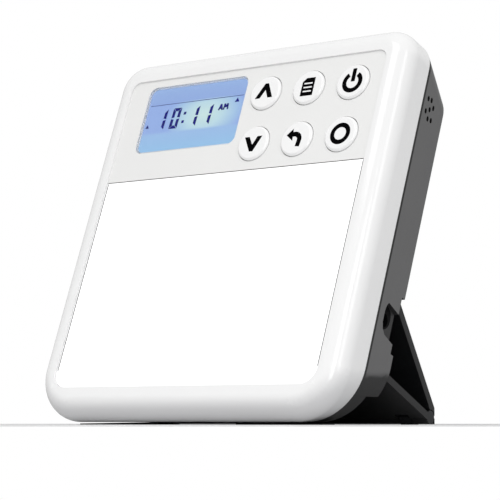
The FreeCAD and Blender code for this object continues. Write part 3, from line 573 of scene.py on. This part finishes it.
# Painted shade: the pocket round the inlet, the inside of the sound holes and the diffuser's edges.
repaint("rear_cover", POCKET_PAINTED_SHADE, *POCKET)
repaint("rear_cover", BLACK_PLASTIC_AND_SHADE, *SOUND_HOLES)
repaint("diffuser_panel", BLACK_PLASTIC_AND_SHADE, *DIFFUSER_EDGES)
repaint("front_bezel", WHITE_KEY_AND_LIGHT, *BEZEL_OPENING)

# %% [markdown]
# ## Pads that thin out
# The two foot pads are rubber mouldings. The ends of each finished pad are drawn outwards under the round
# corners of the case and flattened, so the pad ends in a thin dark wedge: painted contact shadow where the
# corners meet the table. That takes one loop over its points, where a new wedge would have to be joined
# on.

# %% pads that thin out
PAD_END, PAD_REACH, PAD_TIP = 49.9 * MM, 61 * MM, 0.45
# The drawn-out, flattened ends are painted contact shadow.
for vertex in PIECES["foot_pads"].data.vertices:
    if abs(vertex.co.x) > PAD_END:
        vertex.co.x = math.copysign(PAD_REACH, vertex.co.x)
        vertex.co.z *= PAD_TIP
print("pads reach", PAD_REACH / MM, "mm from the middle")

# %% [markdown]
# ## Closed rings
# Some details are rings: a loop of points joined to the next loop, and the last loop to the first. A
# curve with a profile could make one too, but loops of points give exact corners.

# %% closed rings
def bridge(work, one, other):
    """Join two closed loops of points with a ring of faces."""
    for corners in zip(one, one[1:] + one[:1], other[1:] + other[:1], other):
        work.faces.new(corners)


def closed_mesh(name, work):
    """A mesh from a closed bmesh, cut into triangles that face outwards."""
    bmesh.ops.recalc_face_normals(work, faces=work.faces)
    bmesh.ops.triangulate(work, faces=work.faces)
    mesh = bpy.data.meshes.new(name)
    work.to_mesh(mesh)
    work.free()
    return mesh


def closed_band(name, loops, material, body):
    """A closed ring from loops of points: each loop joins the next, and the last joins the first."""
    work = bmesh.new()
    rows = [[work.verts.new(point) for point in loop] for loop in loops]
    for one, other in zip(rows, rows[1:] + rows[:1]):
        bridge(work, one, other)
    mesh = closed_mesh(name, work)
    mesh.materials.append(material)
    return placed(name, mesh, body)


print("closed rings: helpers ready")

# %% [markdown]
# ## The collar of the inlet
# The inlet is a black moulding, and its collar lines the upper end of the pocket. The collar's dead black
# is painted shade at the mouth of the inlet. It is a thin oval plate with the bore left open, so it is a
# ring of
# four ovals: two round the bore and two round the rim.

# %% inlet collar
COLLAR_FACE, COLLAR_THICK = 73.5, 0.08
COLLAR_CENTRE, COLLAR_HALVES = (22.9, -56.2), (3.7, 4.7)
BORE_CENTRE, BORE_HALVES = (22.4, -57.6), (2.8, 2.8)


def side_oval(wall, centre, halves, count=48):
    """Points of an oval on the right wall. Its centre is (behind the face, up the face)."""
    turns = [2 * math.pi * i / count for i in range(count)]
    return [on_face(wall, centre[1] + halves[1] * math.sin(turn), centre[0] + halves[0] * math.cos(turn))
            for turn in turns]


ovals = [side_oval(COLLAR_FACE, BORE_CENTRE, BORE_HALVES),
         side_oval(COLLAR_FACE, COLLAR_CENTRE, COLLAR_HALVES),
         side_oval(COLLAR_FACE + COLLAR_THICK, COLLAR_CENTRE, COLLAR_HALVES),
         side_oval(COLLAR_FACE + COLLAR_THICK, BORE_CENTRE, BORE_HALVES)]
collar = closed_band("inlet_collar", ovals, SOCKET_BLACK_AND_SHADE, "case")
print("collar triangles:", len(collar.data.polygons))

# %% [markdown]
# ## Flat marks
# The marks on the keys are pad printed: a film of ink a few hundredths of a millimetre thick. Text
# objects or decals could show them, but plain shapes need no font and no image. Each mark is drawn as
# outlines in face millimetres, joined into one mesh and given that thickness. A film on plastic sinks a
# little way into what it is printed on, so that no light passes under it.

# %% films on the front face
INK_THICK, INK_SINK = 0.04, 0.01


def thick_shapes(name, outlines, depth, thick, place=on_face):
    """A mesh of closed outlines with a thickness. Each outline is a list of (across, up) points."""
    work = bmesh.new()
    for outline in outlines:
        front, back = [[work.verts.new(place(x, y, level)) for x, y in outline]
                       for level in (depth, depth + thick)]
        work.faces.new(front)
        work.faces.new(back[::-1])
        bridge(work, back, front)
    return closed_mesh(name, work)


def flat_mark(name, outlines, surface, material, body, sink=INK_SINK):
    """A film of ink on a surface that lies at the given depth behind the panels."""
    mesh = thick_shapes(name, outlines, surface + sink - INK_THICK, INK_THICK)
    mesh.materials.append(material)
    return placed(name, mesh, body)


print("ink film:", INK_THICK, "mm")

# %% outlines
def box(left, low, right, high):
    """Outline of an upright rectangle."""
    return [(left, low), (right, low), (right, high), (left, high)]


def arc_points(cx, cy, radius, start, end, count=24):
    """Points on an arc, with its angles in degrees."""
    angles = [math.radians(start + (end - start) * i / count) for i in range(count + 1)]
    return [(cx + radius * math.cos(a), cy + radius * math.sin(a)) for a in angles]


def run_strokes(points, width):
    """Outlines of a line of the given width: one quad for each run, overlapping at the joints."""
    shapes = []
    for start, end in zip(points, points[1:]):
        run = Vector(end) - Vector(start)
        side = Vector((-run.y, run.x)).normalized() * width / 2
        shapes.append([tuple(Vector(point) + side * turn)
                       for point, turn in ((start, 1), (end, 1), (end, -1), (start, -1))])
    return shapes


def joined_stroke(points, width):
    """One outline round a whole line: mitred joints and square ends."""
    left, right = [], []
    for i, point in enumerate(points):
        here = Vector(point)
        before = (here - Vector(points[i - 1])).normalized() if i else None
        after = (Vector(points[i + 1]) - here).normalized() if i < len(points) - 1 else None
        along = ((before or after) + (after or before)).normalized()
        normal = Vector((-along.y, along.x))
        first = after or before
        stretch = 1 / max(0.3, normal.dot(Vector((-first.y, first.x))))
        left.append(tuple(here + normal * width / 2 * stretch))
        right.append(tuple(here - normal * width / 2 * stretch))
    return left + right[::-1]


print("points of a quarter arc:", len(arc_points(0, 0, 1, 0, 90)))

# %% [markdown]
# ## Painted light and shade in the joint round the front panels
# A white ring lies at the bottom of the joint round the two panels, as painted light that lightens the
# joint's shade. A thin black strip runs down each side of the diffuser as painted shadow of the side
# joints, and stops short of the round corners. Both could be drawn in the colour of their neighbours, but
# as pieces of their own they stay crisp. They follow the outline of the panels.

# %% painted light and shade in the joint
PANEL_HALF = face_span("control_panel", ACROSS)[1]
PANEL_TOP = face_span("control_panel", UP_FACE)[1]
PANEL_END = face_span("diffuser_panel", UP_FACE)[0]
TOP_RADIUS, LOW_RADIUS = 4.5, 7.0
PAINTED_LIGHT_BACK, PAINTED_LIGHT_FRONT, PAINTED_LIGHT_CLEAR = 0.35, 0.1, 0.02
SHADE_STRIP_INSET, SHADE_STRIP_WIDE, SHADE_STRIP_TOP, SHADE_STRIP_END = 0.3, 0.4, -0.4, -85.0


def panel_outline(grow, depth, steps=10):
    """Points round both panels, grown outwards, at a depth."""
    top, low = PANEL_TOP + grow - TOP_RADIUS, PANEL_END - grow + LOW_RADIUS
    top_half, low_half = PANEL_HALF + grow - TOP_RADIUS, PANEL_HALF + grow - LOW_RADIUS
    corners = [(top_half, top, TOP_RADIUS, 0), (-top_half, top, TOP_RADIUS, 90),
               (-low_half, low, LOW_RADIUS, 180), (low_half, low, LOW_RADIUS, 270)]
    return [on_face(across, up, depth) for x, y, radius, start in corners
            for across, up in arc_points(x, y, radius, start, start + 90, steps)]


painted_light_in, painted_light_out = PAINTED_LIGHT_CLEAR, JOINT_GAP - PAINTED_LIGHT_CLEAR
painted_light = [panel_outline(grow, depth) for grow, depth in ((painted_light_in, PAINTED_LIGHT_BACK), (painted_light_out, PAINTED_LIGHT_BACK),
                                                       (painted_light_out, PAINTED_LIGHT_FRONT), (painted_light_in, PAINTED_LIGHT_FRONT))]
# A white ring at the bottom of the joint: painted light.
closed_band("joint_tape", painted_light, WHITE_KEY_AND_LIGHT, "case")
outer = PANEL_HALF - SHADE_STRIP_INSET
inner = outer - SHADE_STRIP_WIDE
# Black strips beside the diffuser: painted shadow of the side joints.
shade_strips = [box(side * inner, SHADE_STRIP_END, side * outer, SHADE_STRIP_TOP) for side in (-1, 1)]
flat_mark("diffuser_seals", shade_strips, 0.0, BLACK_PLASTIC_AND_SHADE, "case")
print("panels reach", round(PANEL_HALF, 2), round(PANEL_TOP, 2), round(PANEL_END, 2), "mm")

# %% [markdown]
# ## The marks on the keys
# Six generic signs: up, list, power, down, back and select. Each is drawn round the middle of its key, in
# millimetres. The middle is read from the key's own node, so the signs stay on the caps.

# %% key signs
CHEVRON = [(-4.4, -2.7), (-2.0, -2.7), (0.2, 1.0), (2.0, -2.7), (4.4, -2.7), (1.1, 4.0), (-0.6, 4.0)]
POWER_RING = arc_points(0.3, -0.4, 3.75, 122, 418, 40)
BACK_TAIL = [(-2.0, 1.7)] + arc_points(-0.6, -0.9, 2.6, 90, -5, 16) + [(1.6, -3.9)]
BACK_HEAD = [(-4.7, 1.5), (-1.9, 4.2), (-1.3, -1.2)]
SIGNS = {
    "up": [CHEVRON],
    "menu": [[(-2.9, -4.1), (3.1, -4.1), (3.1, 4.0), (-1.2, 4.0), (-2.9, 2.3)]],
    "power": [joined_stroke(POWER_RING, 1.95), joined_stroke([(0.4, 5.6), (0.4, -0.2)], 1.85)],
    "down": [[(x - 0.1, -y) for x, y in CHEVRON]],
    "back": [joined_stroke(BACK_TAIL, 2.15), BACK_HEAD],
}
CAP_FACE = {key: face_span(f"button_{key}", INTO)[0] for key in KEYS}


def key_middle(key):
    """Middle of a key's cap: across and up the face, in millimetres."""
    return [sum(face_span(f"button_{key}", direction)) / 2 for direction in (ACROSS, UP_FACE)]


for key, sign in SIGNS.items():
    x, y = key_middle(key)
    outlines = [[(x + across, y + up) for across, up in outline] for outline in sign]
    flat_mark(f"mark_{key}", outlines, CAP_FACE[key], KEY_INK, f"{key}_key")
print("key marks on caps at", round(CAP_FACE["up"], 2), "mm")

# %% [markdown]
# ## The ring and the list lines
# The select key has a plain ring. One outline can't have a hole, so the ring is a closed band of four
# circles. The list sign is a dark page with three white lines, which are printed over it.

# %% ring and list lines
RING_INNER, RING_OUTER, RING_STEPS = 2.72, 4.68, 48
LINE_LEFT, LINE_RIGHT, LINE_HIGH, LINE_LEVELS = -1.9, 2.1, 0.6, (1.2, -0.6, -2.4)
x, y = key_middle("select")
under = CAP_FACE["select"] + INK_SINK
over = under - INK_THICK
ring = [[on_face(across, up, depth)
         for across, up in arc_points(x + 0.1, y - 0.2, radius, 0, 360, RING_STEPS)[:-1]]
        for radius, depth in ((RING_INNER, under), (RING_OUTER, under),
                              (RING_OUTER, over), (RING_INNER, over))]
closed_band("mark_select", ring, KEY_INK, "select_key")
x, y = key_middle("menu")
lines = [box(x + LINE_LEFT, y + level, x + LINE_RIGHT, y + level + LINE_HIGH) for level in LINE_LEVELS]
flat_mark("mark_menu_lines", lines, CAP_FACE["menu"] - INK_THICK, WHITE_KEY_AND_LIGHT, "menu_key")
print("ring", RING_INNER, "to", RING_OUTER, "mm, list lines:", len(lines))

# %% [markdown]
# ## The clock's segments
# A seven-segment digit is seven bars, and the number says which are dark. Blender's own font has no such
# bars, so they are drawn once, with mitred ends, and every digit leans by the same slant. The time shown
# is a plain example. Its films lie a hundredth of a millimetre in front of the glass, not in it, so that
# the lit face doesn't cut through them.

# %% clock digits
DIGIT_LOW, DIGIT_HIGH, DIGIT_WIDE, BAR, BAR_GAP = 23.9, 33.6, 4.5, 1.5, 0.2
SLANT = 0.05
LIT = {"0": "abcdef", "1": "bc"}


def slanted(points):
    """Points leant to the right about the foot of the digits."""
    return [(px + (py - DIGIT_LOW) * SLANT, py) for px, py in points]


def digit(number, left):
    """Outlines of a digit's dark bars: a, b, c, d, e and f run clockwise from the top."""
    right, low, high, gap = left + DIGIT_WIDE, DIGIT_LOW, DIGIT_HIGH, BAR_GAP
    middle, mitre, notch = (low + high) / 2, gap + 0.85 * BAR, gap + 0.2 * BAR
    bars = {
        "a": [(left + gap, high), (right - gap, high), (right - gap - BAR, high - BAR),
              (left + gap + BAR, high - BAR)],
        "b": [(right, high - gap), (right, middle + gap), (right - BAR, middle + notch),
              (right - BAR, high - mitre)],
        "c": [(right, middle - gap), (right, low + gap), (right - BAR, low + mitre),
              (right - BAR, middle - notch)],
        "d": [(left + gap, low), (left + gap + BAR, low + BAR), (right - gap - BAR, low + BAR),
              (right - gap, low)],
        "e": [(left, middle - gap), (left + BAR, middle - notch), (left + BAR, low + mitre),
              (left, low + gap)],
        "f": [(left, high - gap), (left + BAR, high - mitre), (left + BAR, middle + notch),
              (left, middle + gap)],
    }
    return [slanted(bars[name]) for name in LIT[number]]


print("digit:", DIGIT_WIDE, "by", round(DIGIT_HIGH - DIGIT_LOW, 1), "mm")

# %% clock segments
TIME = (("1", -48.1), ("0", -40.7), ("1", -30.8), ("1", -23.5))
COLON, COLON_LEVELS, COLON_HALF = -33.8, (26.7, 30.7), 0.65
LETTER_A = [[(-15.4, 30.1), (-14.4, 32.9), (-13.5, 30.1)], [(-15.0, 31.0), (-13.8, 31.0)]]
LETTER_M = [[(-12.8, 30.1), (-12.5, 32.9), (-11.8, 31.2), (-11.0, 32.9), (-10.7, 30.1)]]
LETTER_STROKE = 0.78
POINTERS = [[(-53.8, 25.3), (-51.9, 25.3), (-52.8, 27.0)], [(-7.7, 33.1), (-5.3, 33.1), (-6.5, 35.1)]]
RULE = box(-53.8, 35.8, -3.5, 36.15)
GLASS_FACE = face_span("lcd_glass", INTO)[0]
shapes = [bar for number, left in TIME for bar in digit(number, left)]
shapes += [slanted(box(COLON - COLON_HALF, level - COLON_HALF, COLON + COLON_HALF, level + COLON_HALF))
           for level in COLON_LEVELS]
shapes += [run for line in LETTER_A + LETTER_M for run in run_strokes(line, LETTER_STROKE)]
shapes += POINTERS
flat_mark("clock_segments", shapes, GLASS_FACE, SEGMENT_INK, "case", sink=-INK_SINK)
flat_mark("clock_rules", [RULE], GLASS_FACE, RULE_INK, "case", sink=-INK_SINK)
print("segments:", len(shapes))

# %% [markdown]
# ## Repeats with Geometry Nodes
# The screws' cross recesses and the phosphor in the light packages repeat one small shape at many places.
# A loop could copy it, but a tree does it in one step: it puts an instance at each point, makes the
# instances real and sets their material. The result is turned into a plain mesh, so nothing stays live.

# %% instance tree
def repeated(name, points, part, size, material, body):
    """Instances of a small mesh at given points, as one piece."""
    tree = bpy.data.node_groups.new(f"{name}_tree", "GeometryNodeTree")
    tree.interface.new_socket("Points", in_out="INPUT", socket_type="NodeSocketGeometry")
    scale = tree.interface.new_socket("Size", in_out="INPUT", socket_type="NodeSocketFloat")
    tree.interface.new_socket("Geometry", in_out="OUTPUT", socket_type="NodeSocketGeometry")
    start = add(tree, "NodeGroupInput")
    shape = add(tree, "GeometryNodeObjectInfo", {"Object": part})
    spread = add(tree, "GeometryNodeInstanceOnPoints",
                 {"Points": (start, "Points"), "Instance": (shape, "Geometry"), "Scale": (start, "Size")})
    real = add(tree, "GeometryNodeRealizeInstances", {"Geometry": (spread, "Instances")})
    finish = add(tree, "GeometryNodeSetMaterial", {"Geometry": (real, "Geometry"), "Material": material})
    add(tree, "NodeGroupOutput", {"Geometry": (finish, "Geometry")})
    cloud = bpy.data.meshes.new(f"{name}_points")
    cloud.from_pydata([tuple(point) for point in points], [], [])
    carrier = in_scene(f"{name}_carrier", cloud)
    modifier = carrier.modifiers.new("Repeat", "NODES")
    modifier.node_group = tree
    modifier[scale.identifier] = size
    return placed(name, settled(carrier), body)


def islands(node):
    """Centre of each separate solid of a node."""
    work = merged(node)
    left, centres = set(work.verts), []
    while left:
        stack, group = [left.pop()], []
        while stack:
            vertex = stack.pop()
            group.append(vertex.co.copy())
            for edge in vertex.link_edges:
                other = edge.other_vert(vertex)
                if other in left:
                    left.remove(other)
                    stack.append(other)
        low = Vector([min(p[i] for p in group) for i in range(3)])
        high = Vector([max(p[i] for p in group) for i in range(3)])
        centres.append((low + high) / 2)
    work.free()
    return centres


def at_depth(points, depth):
    """The same points, moved straight into or out of the case to one depth."""
    return [point + INTO * (depth - point.dot(INTO)) for point in points]


print("separate screws:", len(islands("case_screws")))

# %% [markdown]
# ## Cross recesses and phosphor
# A cross recess is dark because no light gets out of it, so it is drawn as a thin dark cross just over
# the screw's head. Each light package has a small window of yellow phosphor in its face. Both shapes
# are films, a few hundredths of a millimetre thick, that sink a little way into their part.

# %% crosses and phosphor
FILM_THICK, CROSS_SINK, PHOSPHOR_LIFT = 0.05, 0.02, 0.03
ARM, HALF_WIDE = 1.5, 0.3
QUARTER = [(ARM, -HALF_WIDE), (ARM, HALF_WIDE), (HALF_WIDE, HALF_WIDE)]
CROSS = [tuple(Matrix.Rotation(math.pi / 2 * turn, 2) @ Vector(point))
         for turn in range(4) for point in QUARTER]
WINDOW = box(-1.4, -1.0, 1.4, 1.0)


def film_seed(name, outline):
    """A thin film round the origin, in the plane of the front face, to be repeated."""
    return in_scene(name, thick_shapes(name, [outline], 0.0, FILM_THICK, place=face_step))


heads = at_depth(islands("case_screws"), reach("case_screws", INTO)[1] - CROSS_SINK * MM)
seed = film_seed("cross_seed", CROSS)
repeated("screw_crosses", heads, seed, 1.0, BLACK_PLASTIC_AND_SHADE, "case")
bpy.data.objects.remove(seed)
print("screw heads:", len(heads))
windows = at_depth(islands("led_packages"), reach("led_packages", INTO)[0] - PHOSPHOR_LIFT * MM)
seed = film_seed("phosphor_seed", WINDOW)
repeated("led_phosphor", windows, seed, 1.0, PHOSPHOR, "case")
bpy.data.objects.remove(seed)
print("phosphor windows:", len(windows))

# %% [markdown]
# ## The table
# The lamp stands on a round sheet of white paper. A plane would do, but a round edge throws no corner
# into the picture. Its fibres vary the white a little.

# %% floor
FLOOR_RADIUS, FLOOR_SIDES = 0.34, 64
FIBRE = 0.6


def white_paper():
    """Matt paper: an even white with no highlight, on which a shadow stays soft."""
    material = emptied(bpy.data.materials.new("white_paper_sweep"))
    fibre = add(material, "ShaderNodeTexNoise", {"Vector": pattern_place(material, FIBRE), "Scale": 1.0})
    colour = add(material, "ShaderNodeMix",
                 {"Factor": (fibre, "Fac"), "A": linear("#D9D9DA"), "B": linear("#DDDDDD")},
                 data_type="RGBA")
    shader = add(material, "ShaderNodeBsdfPrincipled",
                 {"Base Color": (colour, "Result"), "Roughness": 0.7, "IOR": 1.4})
    add(material, "ShaderNodeOutputMaterial", {"Surface": (shader, "BSDF")})
    return material


rim = [(x, y, 0) for x, y in arc_points(0, 0, FLOOR_RADIUS, 0, 360, FLOOR_SIDES)[:-1]]
sheet = bpy.data.meshes.new("floor")
sheet.from_pydata(rim, [], [tuple(range(FLOOR_SIDES))])
sheet.materials.append(white_paper())
in_scene("floor", sheet)
print("floor radius:", FLOOR_RADIUS, "m")

# %% [markdown]
# ## The room and the lamps
# Behind everything, and through the clear window, a white room is seen. The light that the room throws
# on the lamp stays at a plain level, a little darker near the table than at the ceiling, and so does
# what the lamp mirrors. Three large soft lamps model the case: one high in front, and two on the right,
# where the smaller one draws the bright band along the side wall. One large lamp could light the scene
# as well, but the case would look flat.

# %% room and lamps
TABLE_LIGHT, CEILING_LIGHT = 0.46, 0.81
# How steeply a ray points down or up where the room's light reaches its lowest and its highest level.
STEEPEST_DOWN, STEEPEST_UP = -0.4, 0.5
LAMP_TARGET = Vector((0, 0, 0.08))
# Each lamp's place and size in metres, and its power in watts.
SOFTBOXES = {
    "key_softbox": ((-0.15, -0.95, 1.5), (0.9, 0.7), 4.2),
    "front_softbox": ((0.95, -1.15, 0.6), (0.5, 1.1), 4.8),
    "band_softbox": ((1.25, -0.5, 0.8), (0.34, 1.0), 1.8),
}


def white_room():
    """A world that is white to the camera and gives off a graded, plain light."""
    world = emptied(bpy.data.worlds.new("white_room"))
    path = add(world, "ShaderNodeLightPath")
    seen = add(world, "ShaderNodeMath", {0: (path, "Is Camera Ray"), 1: (path, "Is Transmission Ray")},
               operation="MAXIMUM")
    way = add(world, "ShaderNodeTexCoord")
    parts = add(world, "ShaderNodeSeparateXYZ", {"Vector": (way, "Object")})
    level = add(world, "ShaderNodeMapRange",
                {"Value": (parts, "Z"), "From Min": STEEPEST_DOWN, "From Max": STEEPEST_UP,
                 "To Min": TABLE_LIGHT, "To Max": CEILING_LIGHT})
    light = add(world, "ShaderNodeBackground", {"Color": linear("#FAFAFA"), "Strength": (level, "Result")})
    backdrop = add(world, "ShaderNodeBackground", {"Color": linear("#FFFFFF"), "Strength": 1.0})
    choose = add(world, "ShaderNodeMixShader", {"Fac": (seen, "Value"), 1: (light, 0), 2: (backdrop, 0)})
    add(world, "ShaderNodeOutputWorld", {"Surface": (choose, 0)})
    return world


def softbox(name, place, size, power):
    """A rectangular lamp that is turned to the middle of the object."""
    data = bpy.data.lights.new(name, "AREA")
    data.shape = "RECTANGLE"
    data.size, data.size_y = size
    data.energy = power
    lamp = in_scene(name, data)
    lamp.location = place
    lamp.rotation_euler = (LAMP_TARGET - Vector(place)).to_track_quat("-Z", "Y").to_euler()


bpy.context.scene.world = white_room()
for name, (place, size, power) in SOFTBOXES.items():
    softbox(name, place, size, power)
print("room and", len(SOFTBOXES), "lamps ready")

# %% [markdown]
# ## The camera
# The camera stands almost on the table, in front of the lamp's right side, and looks slightly up through
# a long lens, so upright lines stay nearly parallel. It could be aimed by a constraint, but plain angles
# are easier to read and to keep.

# %% camera
CAMERA_PLACE = (0.49726, -0.62518, 0.0011)
CAMERA_TURN, CAMERA_PITCH = math.radians(38.13), math.radians(4.917)
FOCAL_PIXELS, FRAME_PIXELS, SENSOR = 1997.0, 500.0, 36.0
camera_data = bpy.data.cameras.new("camera")
camera_data.sensor_width = SENSOR
camera_data.lens = FOCAL_PIXELS / FRAME_PIXELS * SENSOR
camera = in_scene("camera", camera_data)
camera.location = CAMERA_PLACE
camera.rotation_euler = (math.pi / 2 + CAMERA_PITCH, 0, CAMERA_TURN)
bpy.context.scene.camera = camera
bpy.context.scene.view_settings.view_transform = "Standard"
print("lens:", round(camera_data.lens, 1), "mm")
